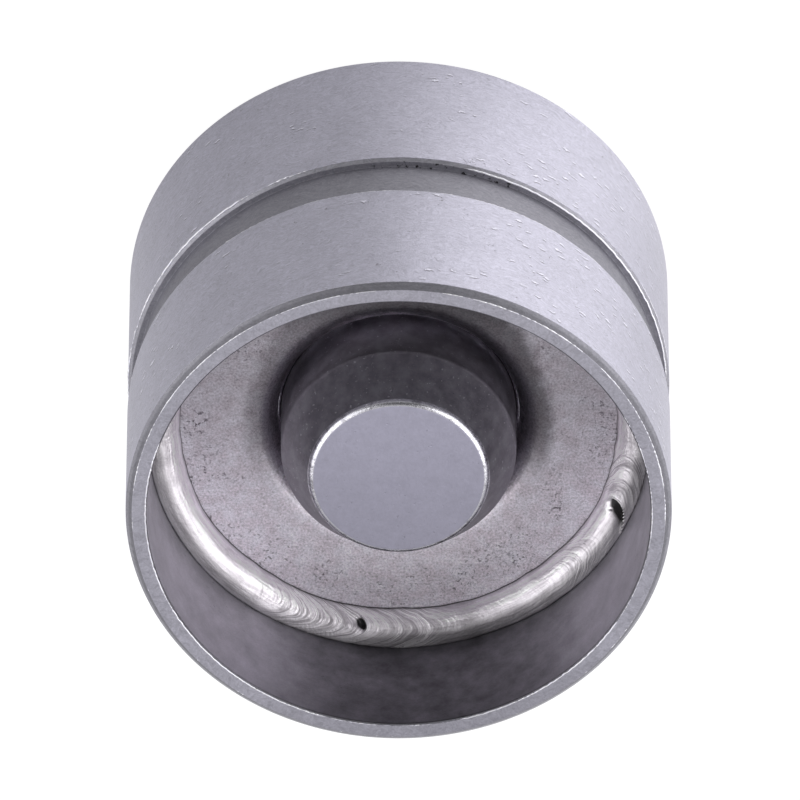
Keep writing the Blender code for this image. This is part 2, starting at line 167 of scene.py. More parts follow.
# %% Mesh helpers
def grid_mesh(name, grid, closed=False):
    """Mesh of a grid (rows, columns, 3) whose columns wrap round; closed joins the last row to the first.

    A face joins (row, column), (row, column + 1), (row + 1, column + 1) and (row + 1, column).
    """
    rows, columns = grid.shape[:2]
    poles = [] if closed else [row for row in (0, rows - 1) if np.ptp(grid[row], axis=0).max() < 1e-9]
    index = np.arange(rows * columns).reshape(rows, columns)
    for row in poles:
        index[row] = index[row, 0]
    lower = index if closed else index[:-1]
    upper = np.roll(index, -1, axis=0) if closed else index[1:]
    corners = (lower, np.roll(lower, -1, axis=1), np.roll(upper, -1, axis=1), upper)
    faces = np.stack(corners, axis=-1).reshape(-1, 4)
    used, packed = np.unique(faces, return_inverse=True)
    faces = packed.reshape(-1, 4)
    at_first_pole = faces[:, 0] == faces[:, 1]
    at_last_pole = faces[:, 2] == faces[:, 3]
    fans = faces[at_first_pole][:, 1:].tolist() + faces[at_last_pole][:, :3].tolist()
    quads = faces[~at_first_pole & ~at_last_pole].tolist()
    mesh = bpy.data.meshes.new(name)
    mesh.from_pydata(grid.reshape(-1, 3)[used], [], quads + fans)
    mesh.shade_smooth()
    mesh.validate()
    return mesh


def round_axis(radius, azimuth, height):
    """Points x = r cos a, y = r sin a, z = h."""
    coordinates = np.broadcast_arrays(radius * np.cos(azimuth), radius * np.sin(azimuth), height)
    return np.stack(coordinates, axis=-1)


def spun(name, outline, segments=448, closed=False):
    """Surface of revolution: each outline point (radius, height) at every azimuth."""
    azimuth = 2 * np.pi * np.arange(segments) / segments
    return grid_mesh(name, round_axis(outline[:, :1], azimuth, outline[:, 1:]), closed)


def rod(radius, low, high):
    """Outline of a plain cylinder."""
    return np.array([(0.0, low), (radius, low), (radius, high), (0.0, high)])


def wire_mesh(name, path, thickness, sides=16):
    """Round wire along a path that winds round the axis, of one thickness or of one for each point.

    A point of the wire is the path's point plus half the thickness times (outward cos b + across sin b), and
    across is square to the path and to its outward direction. A pole closes each end.
    """
    thickness = np.broadcast_to(thickness, len(path))[:, None, None]
    along = np.gradient(path, axis=0)
    along /= np.linalg.norm(along, axis=1, keepdims=True)
    outward = path * (1.0, 1.0, 0.0)
    outward -= along * np.sum(outward * along, axis=1, keepdims=True)
    outward /= np.linalg.norm(outward, axis=1, keepdims=True)
    across = np.cross(along, outward)
    turn = 2 * np.pi * np.arange(sides)[None, :, None] / sides
    spokes = outward[:, None] * np.cos(turn) + across[:, None] * np.sin(turn)
    rings = path[:, None] + spokes * thickness / 2
    ends = [np.repeat(path[end][None, None], sides, axis=1) for end in (0, -1)]
    return grid_mesh(name, np.concatenate((ends[0], rings, ends[1])))


def in_scene(name, data):
    """A new object in the scene that holds a mesh, a lamp or a camera."""
    made = bpy.data.objects.new(name, data)
    bpy.context.scene.collection.objects.link(made)
    return made


def dress(mesh, body, finish, stands_for=()):
    """Puts a mesh in the scene on its body, with its finish, in place of the CAD nodes that it shows."""
    piece = in_scene(mesh.name, mesh)
    mesh.materials.append(finish)
    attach(piece, body)
    if stands_for:
        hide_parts(*stands_for)
    print(mesh.name, "has", sum(len(face.vertices) - 2 for face in mesh.polygons), "triangles")
    return piece


# %% [markdown]
# ## Shader sums written as Python
#
# A steel finish is a handful of sums: this much darker in the pits, that much rougher in the groove. Wired by
# hand they are a wall of Math nodes, so one small class wraps a node's output and lets Python's own signs add
# the nodes. All that isn't a sum comes from `node`, which sets a node's settings and then its sockets.


# %% The shader class
class Signal:
    """One output in a material's node tree, on which arithmetic adds Math nodes."""

    def __init__(self, tree, socket=None):
        self.tree = tree
        self.socket = socket

    def node(self, kind, settings=None, sockets=None, output=0):
        """Adds a node: its settings first, then a value or a link for each socket, by name or by number."""
        made = self.tree.nodes.new(kind)
        for name, value in (settings or {}).items():
            setattr(made, name, value)
        for name, value in (sockets or {}).items():
            if isinstance(value, Signal):
                self.tree.links.new(value.socket, made.inputs[name])
            else:
                made.inputs[name].default_value = value
        return Signal(self.tree, made.outputs[output] if made.outputs else None)

    def also(self, output):
        """Another output of the same node."""
        return Signal(self.tree, self.socket.node.outputs[output])

    def math(self, operation, *values):
        """Adds a Math node, with a number or a signal for each of its sockets."""
        return self.node("ShaderNodeMath", {"operation": operation}, dict(enumerate(values)))

    def __add__(self, other):
        return self.math("ADD", self, other)

    def __sub__(self, other):
        return self.math("SUBTRACT", self, other)

    def __rsub__(self, other):
        return self.math("SUBTRACT", other, self)

    def __mul__(self, other):
        return self.math("MULTIPLY", self, other)

    __radd__ = __add__
    __rmul__ = __mul__

    def rise(self, low, high):
        """0 below low, 1 above high, and a smooth step between them; low above high turns it round."""
        sockets = {"Value": self, "From Min": low, "From Max": high}
        return self.node("ShaderNodeMapRange", {"interpolation_type": "SMOOTHSTEP"}, sockets)

    def band(self, low, high, soft):
        """1 between low and high, and 0 a soft width outside them."""
        return self.rise(low - soft, low) * self.rise(high + soft, high)

    def blend(self, first, second):
        """Mixes two colours by this signal."""
        return self.node("ShaderNodeMix", {"data_type": "RGBA"}, {0: self, 6: first, 7: second}, 2)


# %% [markdown]
# ## The steel family
#
# All these finishes are bare steel, so they share one start: a Principled shader at full metal, and the place
# on the piece in millimetres, from Object coordinates. `grain` is the fine unevenness that tells steel from
# grey glass. `flecks` are rare marks: small smooth spots in some Voronoi cells, picked by the cell's colour.


# %% Steel helpers
def coordinate(place, axis):
    """One of the three numbers of a place: X, Y or Z."""
    return place.node("ShaderNodeSeparateXYZ", None, {0: place}, axis)


def vector_math(operation, place, other=(0.0, 0.0, 0.0), output="Vector"):
    """A Vector Math node on one or two vectors."""
    return place.node("ShaderNodeVectorMath", {"operation": operation}, {0: place, 1: other}, output)


def scaled(vector, factor):
    """A vector made longer or shorter, or a colour made lighter or darker."""
    return vector.node("ShaderNodeVectorMath", {"operation": "SCALE"}, {0: vector, "Scale": factor})


def place_on(start):
    """Where a point of the object is, in millimetres."""
    return scaled(start.node("ShaderNodeTexCoord", output="Object"), 1.0 / MM)


def from_axis(place):
    """How far a place is from the tappet's axis."""
    return vector_math("LENGTH", vector_math("MULTIPLY", place, (1.0, 1.0, 0.0)), output="Value")


def steel(name):
    """A new metal, and the place on the piece on which its finish is built."""
    material = bpy.data.materials.new(name)
    material.use_nodes = True
    material.node_tree.nodes["Principled BSDF"].inputs["Metallic"].default_value = 1.0
    return material, place_on(Signal(material.node_tree))


def wired(material, **links):
    """Links signals to the sockets of a metal's shader, an underline standing for a space in their names."""
    sockets = material.node_tree.nodes["Principled BSDF"].inputs
    for name, signal in links.items():
        signal.tree.links.new(signal.socket, sockets[name.replace("_", " ")])
    return material


def stretched(place, factors, turn=(0.0, 0.0, 0.0)):
    """The place turned and then squeezed, so that a pattern on it comes out stretched."""
    sockets = {0: place, "Rotation": turn, "Scale": factors}
    return place.node("ShaderNodeMapping", {"vector_type": "POINT"}, sockets)


def grain(place, per_mm, detail=2.0, rough=0.5, bend=0.0):
    """Cloudy noise from 0 to 1 with so many features in a millimetre."""
    sockets = {"Vector": place, "Scale": per_mm, "Detail": detail, "Roughness": rough, "Distortion": bend}
    return place.node("ShaderNodeTexNoise", None, sockets)


def moved(place, by_mm):
    """The place shifted, so that a pattern on it moves the other way."""
    return vector_math("ADD", place, by_mm)


def close_to(place, x, y, z, spread):
    """1 near one spot, given in millimetres, and 0 further from it than the spread."""
    return vector_math("DISTANCE", place, (x, y, z), "Value").rise(spread, 0.3 * spread)


def warped(place, per_mm, by_mm):
    """The place pushed about by a cloudy noise, which bends whatever is drawn on it."""
    push = vector_math("SUBTRACT", grain(place, per_mm).also("Color"), (0.5, 0.5, 0.5))
    return moved(place, scaled(push, by_mm))


def flecks(place, per_mm, share, size):
    """1 in rare spots: a share of the cells has one, with a size given in cell widths."""
    cell = place.node("ShaderNodeTexVoronoi", None, {"Vector": place, "Scale": per_mm})
    chance = cell.node("ShaderNodeSeparateColor", None, {0: cell.also("Color")})
    return cell.rise(size, size / 2) * chance.rise(1.0 - share, 1.0 - share + 0.01)


def bumped(height, depth_mm):
    """A normal from a height signal, where a full step of the signal is so many millimetres."""
    sockets = {"Height": height, "Distance": depth_mm * MM, "Strength": 1.0}
    return height.node("ShaderNodeBump", None, sockets)


# %% [markdown]
# ## The bucket
#
# The bucket is one turned piece: crown, skirt, oil groove and rim. Lathe work is an outline and a spin, so
# that is how it is made here too. The feed hole in the groove and the recess across the crown's inside are
# drilled and milled afterwards on the real one, and here two cutters are subtracted and then thrown away.


# %% Bucket shape
def bucket_outline():
    """Half section, from the middle of the cam face out, up to the rim, and back down the inside."""
    ledge = FLANGE - SHEET - SEAT_GAP
    rim_side = GROOVE_EDGE + GROOVE_WIDTH
    edge = 0.04 * MM
    soft = 0.12 * MM
    corners = [
        (0.0, 0.0, 0.0),
        (OUTER - CROWN_CHAMFER, 0.0, soft),
        (OUTER, CROWN_CHAMFER, soft),
        (OUTER, GROOVE_EDGE, edge),
        (OUTER - GROOVE_BEVEL, GROOVE_EDGE + GROOVE_BEVEL, edge),
        (GROOVE_FLOOR, GROOVE_EDGE + GROOVE_BEVEL, edge / 2),
        (GROOVE_FLOOR, rim_side, edge),
        (OUTER, rim_side, GROOVE_ROUNDING),
        (OUTER, RIM - RIM_CHAMFER, edge),
        (OUTER - RIM_CHAMFER, RIM, edge),
        (SKIRT_BORE + RIM_BREAK, RIM, edge / 2),
        (SKIRT_BORE, RIM - RIM_BREAK, edge / 2),
        (SKIRT_BORE, ledge, soft),
        (UPPER_BORE, ledge, soft),
        (UPPER_BORE, CROWN_INSIDE, CROWN_FILLET),
        (0.0, CROWN_INSIDE, 0.0),
    ]
    return evened(filleted(corners))


def cut_away(mesh, *cutters):
    """Subtracts closed meshes from a mesh and returns the result; the helpers' objects are removed."""
    blank = in_scene("blank", mesh)
    helpers = [in_scene(cutter.name, cutter) for cutter in cutters]
    for helper in helpers:
        boolean = blank.modifiers.new(helper.name, "BOOLEAN")
        boolean.operation = "DIFFERENCE"
        boolean.solver = "EXACT"
        boolean.object = helper
    result = bpy.data.meshes.new_from_object(blank.evaluated_get(bpy.context.evaluated_depsgraph_get()))
    for helper in (blank, *helpers):
        bpy.data.objects.remove(helper)
    name = mesh.name
    bpy.data.meshes.remove(mesh)
    result.name = name
    return result


def feed_drill():
    """Round drill that points along +Y, through the wall at the middle of the groove."""
    radius = 1.10 * MM
    inside, outside = 12.0 * MM, 18.0 * MM
    middle = GROOVE_EDGE + GROOVE_WIDTH / 2
    drill = spun("feed_drill", rod(radius, inside, outside), 64)
    drill.transform(Matrix.Translation((0.0, 0.0, middle)) @ Matrix.Rotation(-np.pi / 2, 4, "X"))
    return drill


def recess_slot():
    """Round-ended slot across the crown's inside: a disc whose two halves are pulled apart along X."""
    half_width = 1.50 * MM
    half_length = 7.15 * MM
    depth = 0.60 * MM
    slot = spun("recess_slot", rod(half_width, -depth, depth), 64)
    places = np.array([vertex.co for vertex in slot.vertices])
    places[:, 0] += (half_length - half_width) * np.sign(np.round(places[:, 0], 9))
    places[:, 2] += CROWN_INSIDE
    slot.vertices.foreach_set("co", places.ravel())
    return slot


bucket_mesh = cut_away(spun("bucket", bucket_outline()), feed_drill(), recess_slot())

# %% [markdown]
# ## Ground steel
#
# The outer wall is ground, so it is even and softly shiny, with a fine watered grain and the nicks of
# handling. The groove, the chamfers and the bore are only turned: duller, darker, with faint tool lines. One
# material does it all, because where a point lies tells which tool made it. A nick is a little raised lip of
# clean metal, so it is painted twice: bright where it is, its clean metal and partly a painted highlight, and
# dark a hair closer to the rim, as its painted shade.


# %% Ground steel finish
def handling_nicks(place):
    """Long and short lips of metal, thick in places and rare in others, with the most on the -X side."""
    side = coordinate(place, "X").rise(3.0, -9.0)
    crowd = (grain(place, 0.26, 2.0) + 0.10 * side).rise(0.53, 0.63)
    bent = warped(warped(place, 1.6, 0.5), 6.0, 0.22)
    long_ones = flecks(stretched(bent, (1.0, 1.0, 3.4), (0.35, 0.25, 0.0)), 0.80, 0.55, 0.28)
    short_ones = flecks(stretched(bent, (1.0, 1.0, 2.2), (-0.3, 0.3, 0.0)), 1.5, 0.14, 0.24)
    return long_ones.math("MAXIMUM", long_ones * (0.05 + 0.95 * crowd), short_ones * (0.30 + 0.70 * crowd))


def ground_steel():
    """Finish of the bucket: ground wall, turned groove and bore, dirt in the groove and handling marks.

    The bore and the rim's flat carry painted shade on the far side, and a painted shadow line runs under the
    rim.
    """
    material, place = steel("ground_steel")
    radius = from_axis(place)
    x, y, height = (coordinate(place, axis) for axis in "XYZ")
    outer, bore, rim, groove = OUTER / MM, SKIRT_BORE / MM, RIM / MM, GROOVE_EDGE / MM
    wall = radius.rise(outer - 0.03, outer - 0.01)
    bored = radius.rise(bore + 0.04, bore + 0.02)
    rim_flat = height.rise(rim - 0.03, rim - 0.01)
    sunk = radius.rise(outer - 0.12, outer - 0.24) * height.rise(groove + 0.12, groove + 0.20)
    # Painted shade: the groove a little darker near its root on the crown side.
    root = sunk * height.rise(groove + 0.90, groove + 0.38)
    chamfer = height.rise(rim - 0.41, rim - 0.38) * (1.0 - rim_flat) * (1.0 - bored)
    # Painted shade: the bore and the rim's flat are darker on the far side.
    far = (y - 0.15 * x).rise(11.0, 15.0)
    # A painted shadow line on the bore just under the rim.
    rim_shadow_line = bored * height.rise(rim - 0.26, rim - 0.12)
    clouds = grain(place, 0.35, 3.0, 0.6)
    patches = grain(place, 0.55, 4.0, 0.65) - 0.5
    fine = grain(stretched(place, (1.0, 1.0, 2.0)), 8.0, 3.0, 0.65)
    weave = grain(stretched(warped(place, 0.45, 2.2), (1.0, 1.0, 3.0)), 2.2, 4.0, 0.66, 1.2)
    lines = grain(stretched(place, (0.3, 0.3, 14.0)), 1.4, 2.0, 0.6)
    nicks = handling_nicks(place) * wall
    towards_rim = (0.0, 0.0, -0.11)
    shades = handling_nicks(moved(place, towards_rim)) * wall
    pits = grain(place, 2.6, 3.0, 0.7).rise(0.335, 0.30) * clouds.rise(0.50, 0.40) * (wall + 0.8 * bored)
    crumbs = grain(place, 2.2, 3.0, 0.6).rise(0.55, 0.62)
    dirt = crumbs * sunk * height.rise(groove + 0.40, groove + 0.28) * x.band(-6.5, 1.0, 1.0)

    bright = wall.blend((0.44, 0.432, 0.485, 1), (0.61, 0.596, 0.70, 1))
    bright = bored.blend(bright, (0.58, 0.565, 0.62, 1))
    bright = (rim_flat * (1.0 - bored)).blend(bright, (0.57, 0.557, 0.64, 1))
    tone = 0.86 + 0.16 * clouds + 0.50 * (fine - 0.5) + 0.85 * (weave - 0.5) * (1.0 - bored)
    tone = (tone + 0.10 * (lines - 0.5)) * (1.0 - 0.18 * sunk - 0.02 * root - 0.24 * chamfer)
    # Painted shade on the bore's far side, a painted shadow line under the rim, and painted shade on the far
    # rim flat.
    tone = tone * (1.0 - bored * (0.02 + 0.56 * far - 0.8 * patches)) * (1.0 - 0.50 * rim_shadow_line)
    tone = tone * (1.0 - 0.16 * far * rim_flat)
    marked = (shades * 0.75).blend(scaled(bright, tone), (0.16, 0.15, 0.18, 1))
    marked = nicks.blend(marked, (0.90, 0.885, 1.0, 1))
    marked = (pits * 0.7).blend(marked, (0.16, 0.15, 0.17, 1))
    marked = (dirt * 0.92).blend(marked, (0.03, 0.028, 0.03, 1))
    rough = 0.36 - 0.02 * wall - 0.12 * bored + 0.16 * sunk + 0.3 * dirt + 0.06 * clouds + 0.10 * (fine - 0.5)
    relief = (0.30 + 0.15 * wall) * fine * (1.0 - bored) + 0.60 * weave * wall + 0.12 * lines + nicks - pits
    return wired(material, Base_Color=marked, Roughness=rough, Normal=bumped(relief, 0.045))


dress(bucket_mesh, "bucket", ground_steel(), ["bucket_housing"])

# %% [markdown]
# ## Ragged edges
#
# Where a tool leaves the metal it pushes up a thin, torn lip, and on this tappet those lips are the brightest
# lines of all; their near-white colour is partly a painted highlight along the edges. Each is a very thin
# wire laid along its edge, whose thickness is a random wave: where the wave falls to nothing, the lip has
# broken off.


# %% Ragged edges
def around(azimuth, middle):
    """Signed angle from a middle azimuth, between minus and plus half a turn."""
    return (azimuth - middle + np.pi) % (2 * np.pi) - np.pi


def smooth_random(azimuth, count, seed):
    """Smooth values, mostly between -1 and 1, round the circle: a sum of sines with random phases.

    The sum runs over 1 to count waves round the circle, divided by the root of the sum of squared sizes.
    """
    dice = np.random.default_rng(seed)
    waves = np.arange(1, count + 1)
    phases = dice.uniform(0.0, 2 * np.pi, count)
    sizes = dice.uniform(0.4, 1.0, count)
    total = np.sum(sizes * np.sin(np.multiply.outer(azimuth, waves) + phases), axis=-1)
    return total / np.sqrt(np.sum(sizes ** 2))


def ragged_wire(name, first, last, edge, thickness_mm, wholeness, seed, points_per_degree=8):
    """Thin ragged wire on an edge (radius, height), between two azimuths in degrees.

    A wire of wholeness 1 hardly breaks, and one of wholeness 0 mostly does.
    """
    radius, height = edge
    azimuth = np.radians(np.linspace(first, last, int(abs(last - first) * points_per_degree)))
    wave = wholeness + 0.45 * smooth_random(azimuth, 40, seed) + 0.30 * smooth_random(azimuth, 360, seed + 1)
    taper = np.minimum(1.0, 12.0 * (1.0 - np.abs(np.linspace(-1.0, 1.0, len(azimuth)))))
    size = thickness_mm * MM * np.clip(wave * taper, 0.02, 1.1)
    reach = radius + 0.10 * size * smooth_random(azimuth, 200, seed + 2)
    return wire_mesh(name, round_axis(reach, azimuth, height), size, 6)


def burr_and_highlight_steel():
    """Finish of the ragged edges: clean torn metal, painted nearly white, partly as a painted highlight."""
    material, place = steel("burr_and_highlight_steel")
    fine = grain(place, 6.0, 3.0, 0.6)
    colour = fine.rise(0.35, 0.6).blend((0.88, 0.87, 0.97, 1), (0.97, 0.96, 1.0, 1))
    rough = 0.34 + 0.20 * (fine - 0.5)
    return wired(material, Base_Color=colour, Roughness=rough, Normal=bumped(fine, 0.010))


burr_and_highlight = burr_and_highlight_steel()
BEVEL_FOOT = (OUTER - GROOVE_BEVEL, GROOVE_EDGE + GROOVE_BEVEL)
GROOVE_TOP = (OUTER - 0.03 * MM, GROOVE_EDGE + GROOVE_WIDTH + 0.01 * MM)
CHAMFER_TOP = (OUTER - RIM_CHAMFER, RIM - 0.015 * MM)
BREAK_TOP = (SKIRT_BORE + 0.09 * MM, RIM - 0.01 * MM)
# A row has a lip's name, its first and last azimuth in degrees, its edge, its thickness in millimetres, its
# wholeness and the seed of its waves.
# These near-white wires are partly real burrs and partly a painted highlight along each edge.
LIPS_AND_HIGHLIGHTS = [
    ("groove_lip_right", -178.0, -104.0, BEVEL_FOOT, 0.12, 2.00, 11),
    ("groove_edge_right", -178.0, -112.0, (OUTER - 0.01 * MM, GROOVE_EDGE), 0.04, 0.30, 21),
    ("groove_lip_left", -73.0, 5.0, (OUTER - 0.02 * MM, GROOVE_EDGE), 0.13, 0.85, 31),
    ("groove_rim_side", -176.0, -4.0, GROOVE_TOP, 0.06, 0.45, 41),
    ("rim_lip_right", -184.0, -97.0, CHAMFER_TOP, 0.09, 0.60, 51),
    ("rim_lip_left", -86.0, 6.0, CHAMFER_TOP, 0.08, 0.55, 61),
    ("rim_lip_far", 8.0, 174.0, (OUTER - RIM_CHAMFER, RIM - 0.02 * MM), 0.05, 0.15, 71),
    ("bore_lip_left", -20.0, 74.0, BREAK_TOP, 0.10, 1.30, 81),
    ("bore_lip_far", 74.0, 104.0, BREAK_TOP, 0.07, 0.45, 83),
    ("bore_lip_right", 104.0, 150.0, BREAK_TOP, 0.10, 1.20, 85),
    ("bore_lip_side", 150.0, 208.0, BREAK_TOP, 0.08, 0.55, 87),
]
for wire_name, *lip in LIPS_AND_HIGHLIGHTS:
    dress(ragged_wire(wire_name, *lip), "bucket", burr_and_highlight)

# %% [markdown]
# ## The guide sleeve
#
# The sleeve is drawn from sheet: a flat flange that rolls over, with a large radius, into a straight neck.
# The roll is what makes the dark funnel round the middle, so it gets the most points. The flange's edge lies
# under the weld.


# %% Guide sleeve shape
def sleeve_outline():
    """Closed section: up the bore, over the roll, out along the flange, back under it and down the neck."""
    bore = HOUSING_RADIUS + RUNNING_GAP
    neck_outside = MOUTH + SHEET
    flange_edge = SKIRT_BORE - SEAT_GAP
    lead = MOUTH - bore
    roll_start = FLANGE - ROLL
    corners = [
        (bore, (NECK_FOOT + roll_start) / 2, 0.0),
        (bore, roll_start - lead, 0.02 * MM),
        (MOUTH, roll_start, 0.02 * MM),
        (MOUTH, FLANGE, ROLL - 0.02 * MM),
        (flange_edge, FLANGE, 0.06 * MM),
        (flange_edge, FLANGE - SHEET, 0.10 * MM),
        (neck_outside, FLANGE - SHEET, ROLL - SHEET),
        (neck_outside, NECK_FOOT, 0.10 * MM),
        (bore + lead, NECK_FOOT, 0.03 * MM),
        (bore, NECK_FOOT + lead, 0.03 * MM),
        (bore, (NECK_FOOT + roll_start) / 2 - 0.1 * MM, 0.0),
    ]
    return evened(filleted(corners, 12), 1.2 * MM)


# Where pits gather on the flange: x, y and reach in millimetres.
PIT_PLACES = [
    (12.3, 3.5, 2.0), (12.2, -0.5, 1.4), (7.8, 9.3, 1.9), (4.4, 11.0, 1.4), (-3.7, 11.4, 1.5),
    (-7.5, 9.7, 1.2), (-9.3, 6.2, 1.0),
]


def drawn_steel():
    """Finish of the sleeve: matt, faintly pink and mottled where it is flat, burnished over the roll.

    The flange carries painted shade: darker on the near side, darkest next to the skirt, and in a ring where
    its roll begins. The dark pits are the lowest values of a noise, so they come out ragged, and they gather
    in a few places.
    """
    material, place = steel("drawn_steel")
    radius = from_axis(place)
    x, y = coordinate(place, "X"), coordinate(place, "Y")
    mottle = grain(place, 0.8, 5.0, 0.66)
    fine = grain(place, 7.0, 4.0, 0.75)
    ragged = radius + 0.9 * (grain(place, 1.6, 4.0, 0.7) - 0.5)
    roll_edge = (MOUTH + ROLL) / MM
    rolled = ragged.rise(roll_edge - 0.25, roll_edge - 0.60)
    right, left = x.rise(2.0, -7.0), x.rise(2.0, 7.0)
    flat = (ragged + 0.5 * right + 0.5 * left).rise(roll_edge - 1.3, roll_edge - 0.7)
    flat = flat.math("MAXIMUM", flat, y.rise(1.0, 5.0))
    # Painted shade: a ring where the roll begins, the whole near side, and most next to the near skirt wall.
    roll_ring_shade = (ragged - y.rise(-3.0, -9.0)).rise(roll_edge + 0.9, roll_edge - 0.1) * y.rise(5.0, 0.0)
    shade = (1.0 - 0.42 * y.rise(10.0, -5.0)) * (1.0 - (0.38 + 0.26 * right) * roll_ring_shade)
    shade = shade * (1.0 - 0.6 * y.rise(-6.0, -9.5))
    gathered = 0.7 * grain(moved(place, (3.0, 7.0, 0.0)), 0.45, 2.0).rise(0.50, 0.64)
    wandering = warped(place, 0.9, 2.0)
    for pit_x, pit_y, reach in PIT_PLACES:
        gathered = gathered.math("MAXIMUM", gathered, close_to(wandering, pit_x, pit_y, FLANGE / MM, reach))
    off_the_roll = radius.rise(9.0, 10.5)
    pits = grain(place, 3.6, 3.0, 0.65).rise(0.43, 0.35) * gathered * off_the_roll
    medium = grain(place, 2.2, 3.0, 0.6)
    tone = 1.21 + 0.70 * (mottle - 0.5) + 0.60 * (medium - 0.5) + 2.40 * (fine - 0.5)
    bright = mottle.rise(0.35, 0.65).blend((0.68, 0.62, 0.69, 1), (0.67, 0.64, 0.71, 1))
    marked = (pits * 0.8).blend(scaled(bright, tone), (0.14, 0.12, 0.14, 1))
    marked = scaled(marked, 1.0 - flat * (1.0 - shade))
    metal = 0.86 + 0.12 * rolled
    rough = 0.52 - 0.14 * rolled + 0.20 * (fine - 0.5)
    relief = fine + 0.8 * mottle - 1.2 * pits
    return wired(material, Base_Color=marked, Metallic=metal, Roughness=rough, Normal=bumped(relief, 0.030))


sleeve_mesh = spun("drawn_sleeve", sleeve_outline(), 384, closed=True)
dress(sleeve_mesh, "bucket", drawn_steel(), ["guide_sleeve"])
ROLL_FOOT = (MOUTH - 0.01 * MM, FLANGE - ROLL)
# Near-white wires at the foot of the roll, on its left and right only: a painted glint.
MOUTH_GLINTS = [
    ("mouth_lip_left", -66.0, 4.0, ROLL_FOOT, 0.08, 1.40, 91),
    ("mouth_lip_right", -186.0, -113.0, ROLL_FOOT, 0.08, 1.40, 95),
]
for wire_name, *lip in MOUTH_GLINTS:
    dress(ragged_wire(wire_name, *lip), "bucket", burr_and_highlight)

# %% [markdown]
# ## The weld bead
#
# The bead fills the corner between flange and skirt. Its metal froze in steps behind the arc, and each step
# left a crescent whose middle runs ahead of its ends. The face is a grid: one direction runs once round, the
# other, t, from the toe on the flange to the top on the skirt. What makes it a weld is one number for each
# point, the flow: how far along the weld the metal froze there. The ripples follow the flow, and so do the
# streaks in the finish and the craters where the arc was put out, each a pit behind a crescent, with a lip
# ahead of it.


# %% Weld bead shape
BEAD_WIDTH = 1.95 * MM
BEAD_HEIGHT = 1.40 * MM
BEAD_CROWNING = 0.43 * MM
BEAD_GAP = 0.01 * MM
TOE_WAVE = 0.05 * MM
TOE_WAVES = 9
TOE_RAGGEDNESS = 0.02 * MM
BEAD_ARC_RADIUS = SKIRT_BORE - BEAD_WIDTH / 2
RIPPLE_BOW = 1.90 * MM
RIPPLE_MIDDLE = 0.55
RIPPLE_HEIGHT = 0.007 * MM
RIPPLE_LENGTHS = (0.22 * MM, 0.95 * MM)
RIPPLE_WANDER = 0.08 * MM
PIT_EDGE = 0.02 * MM
LIP_MIDDLE = 0.09 * MM
LIP_WIDTH = 0.07 * MM
# Where the ripples are strong: azimuth and spread in degrees, and strength.
RIPPLE_PLACES = [(71.0, 10.0, 2.0), (93.0, 9.0, 0.8), (141.0, 7.0, 0.7), (167.0, 7.0, 1.2)]
# A crater has its azimuth in degrees, its middle as t, its depth, its length, its width as t and its lip's
# height.
CRATERS = [
    (81.6, 0.46, 0.45 * MM, 0.62 * MM, 0.14, 0.110 * MM),
    (160.2, 0.62, 0.60 * MM, 0.80 * MM, 0.22, 0.090 * MM),
    (157.0, 0.47, 0.26 * MM, 0.13 * MM, 0.06, 0.020 * MM),
]


def ahead(t):
    """How far a crescent runs ahead, as a share of the bow: a parabola from 0 over 1 at its middle to 0."""
    reach = np.where(t < RIPPLE_MIDDLE, RIPPLE_MIDDLE, 1.0 - RIPPLE_MIDDLE)
    return 1.0 - ((t - RIPPLE_MIDDLE) / reach) ** 2


def frozen_waves(flow, kinds=40, seed=5):
    """Irregular ripples along the flow: a sum of sines of lengths between the shortest and the longest."""
    dice = np.random.default_rng(seed)
    once_round = 2 * np.pi * BEAD_ARC_RADIUS
    waves = dice.integers(once_round / RIPPLE_LENGTHS[1], once_round / RIPPLE_LENGTHS[0], kinds)
    phases = dice.uniform(0.0, 2 * np.pi, kinds)
    sines = np.sin(np.multiply.outer(flow / BEAD_ARC_RADIUS, waves) + phases)
    return np.sum(sines, axis=-1) * np.sqrt(2 / kinds)


def crater(flow, t, degrees, middle, depth, length, width, lip):
    """Depth of a pit that is steep at its front crescent and shallows behind it, and height of the lip ahead.

    With s the flow less the front's flow, the pit is the depth times exp(-(s / length)^2) where s is below 0,
    and the lip is a narrow bell just above 0. Both fade with exp(-((t - middle) / width)^2), and the lip with
    twice the width.
    """
    front = np.radians(degrees) * BEAD_ARC_RADIUS - RIPPLE_BOW * ahead(np.array(middle))
    s = flow - front
    steep = 1.0 / (1.0 + np.exp(np.clip(s / PIT_EDGE, -40.0, 40.0)))
    pit = depth * steep * np.exp(-(s / length) ** 2) * np.exp(-(((t - middle) / width) ** 2))
    bell = np.exp(-((s - LIP_MIDDLE) / LIP_WIDTH) ** 2)
    return pit, lip * bell * np.exp(-(((t - middle) / (2 * width)) ** 2))


